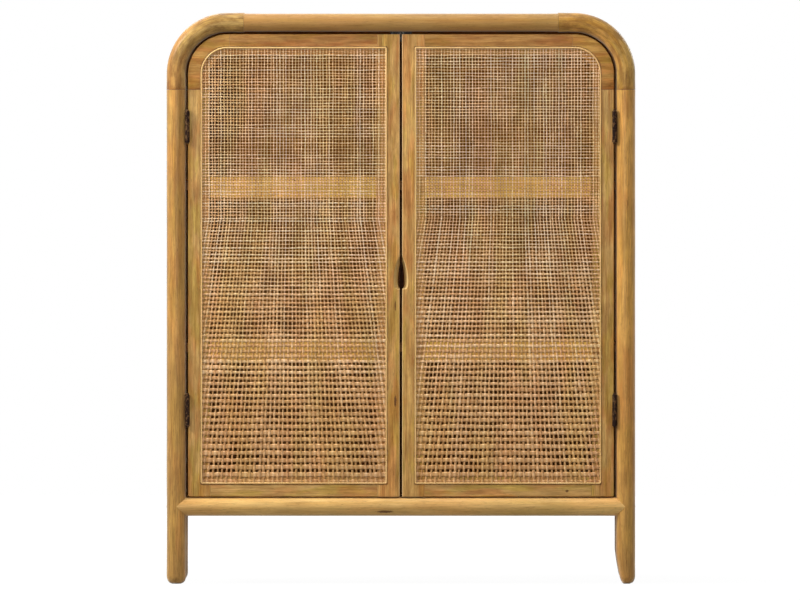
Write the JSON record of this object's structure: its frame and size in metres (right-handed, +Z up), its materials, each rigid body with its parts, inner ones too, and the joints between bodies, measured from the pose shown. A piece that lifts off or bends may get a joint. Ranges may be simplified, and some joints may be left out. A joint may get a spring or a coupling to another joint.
{
  "type": "record cabinet",
  "caption": "Upright cabinet on pole legs with rounded shoulders, two inset doors of open cane webbing, and shelves sized for record sleeves.",
  "frame": {"origin": "on the floor, under the middle of the cabinet", "axes": "+Z up, -Y out of the front through the doors, +X to the right as seen from the front"},
  "size_m": [1, 0.4, 1.218],
  "materials": {
    "pole": "satin varnish over golden-tan rattan pole",
    "bent_pole": "satin varnish over mottled, darker steam-bent pole",
    "door_frame": "satin varnish over fine straight grain",
    "panel": "satin varnish over plain board",
    "cane_webbing": "open square weave of natural cane strands",
    "cane_bead": "pale split cane, satin",
    "dark_bronze": "dark aged bronze, satin",
    "catch_steel": "plain zinc-plated steel"
  },
  "bodies": {
    "carcass": {"back_panel": "panel", "floor_panel": "panel", "front_bottom_pole": "pole", "front_left_bend": "bent_pole", "front_left_post": "pole", "front_right_bend": "bent_pole", "front_right_post": "pole", "front_top_pole": "pole", "left_bottom_pole": "pole", "left_lower_hinge_pin": "dark_bronze", "left_lower_hinge_post_leaf": "dark_bronze", "left_lower_shelf_cleat": "panel", "left_side_panel": "panel", "left_side_webbing": "cane_webbing", "left_upper_hinge_pin": "dark_bronze", "left_upper_hinge_post_leaf": "dark_bronze", "left_upper_shelf_cleat": "panel", "lower_shelf": "panel", "magnetic_catch": "catch_steel", "rear_bottom_pole": "pole", "rear_left_bend": "bent_pole", "rear_left_post": "pole", "rear_right_bend": "bent_pole", "rear_right_post": "pole", "rear_top_pole": "pole", "right_bottom_pole": "pole", "right_lower_hinge_pin": "dark_bronze", "right_lower_hinge_post_leaf": "dark_bronze", "right_lower_shelf_cleat": "panel", "right_side_panel": "panel", "right_side_webbing": "cane_webbing", "right_upper_hinge_pin": "dark_bronze", "right_upper_hinge_post_leaf": "dark_bronze", "right_upper_shelf_cleat": "panel", "top_panel": "panel", "upper_shelf": "panel"},
    "left_door": {"left_door_bead": "cane_bead", "left_door_bottom_rail": "door_frame", "left_door_corner_block": "door_frame", "left_door_hinge_stile": "door_frame", "left_door_lower_cross_rail": "door_frame", "left_door_meeting_stile": "door_frame", "left_door_top_rail": "door_frame", "left_door_upper_cross_rail": "door_frame", "left_door_webbing": "cane_webbing", "left_lower_hinge_door_leaf": "dark_bronze", "left_strike_plate": "catch_steel", "left_upper_hinge_door_leaf": "dark_bronze"},
    "right_door": {"right_door_bead": "cane_bead", "right_door_bottom_rail": "door_frame", "right_door_corner_block": "door_frame", "right_door_hinge_stile": "door_frame", "right_door_lower_cross_rail": "door_frame", "right_door_meeting_stile": "door_frame", "right_door_top_rail": "door_frame", "right_door_upper_cross_rail": "door_frame", "right_door_webbing": "cane_webbing", "right_lower_hinge_door_leaf": "dark_bronze", "right_strike_plate": "catch_steel", "right_upper_hinge_door_leaf": "dark_bronze"}
  },
  "joints": [
    {"name": "left_door_hinge", "type": "hinge", "parent": "carcass", "child": "left_door", "pos_m": [-0.4555, -0.194, 0.6725], "axis": [0, 0, -1], "range_deg": [0, 160]},
    {"name": "right_door_hinge", "type": "hinge", "parent": "carcass", "child": "right_door", "pos_m": [0.4555, -0.194, 0.6725], "axis": [0, 0, 1], "range_deg": [0, 160]}
  ]
}
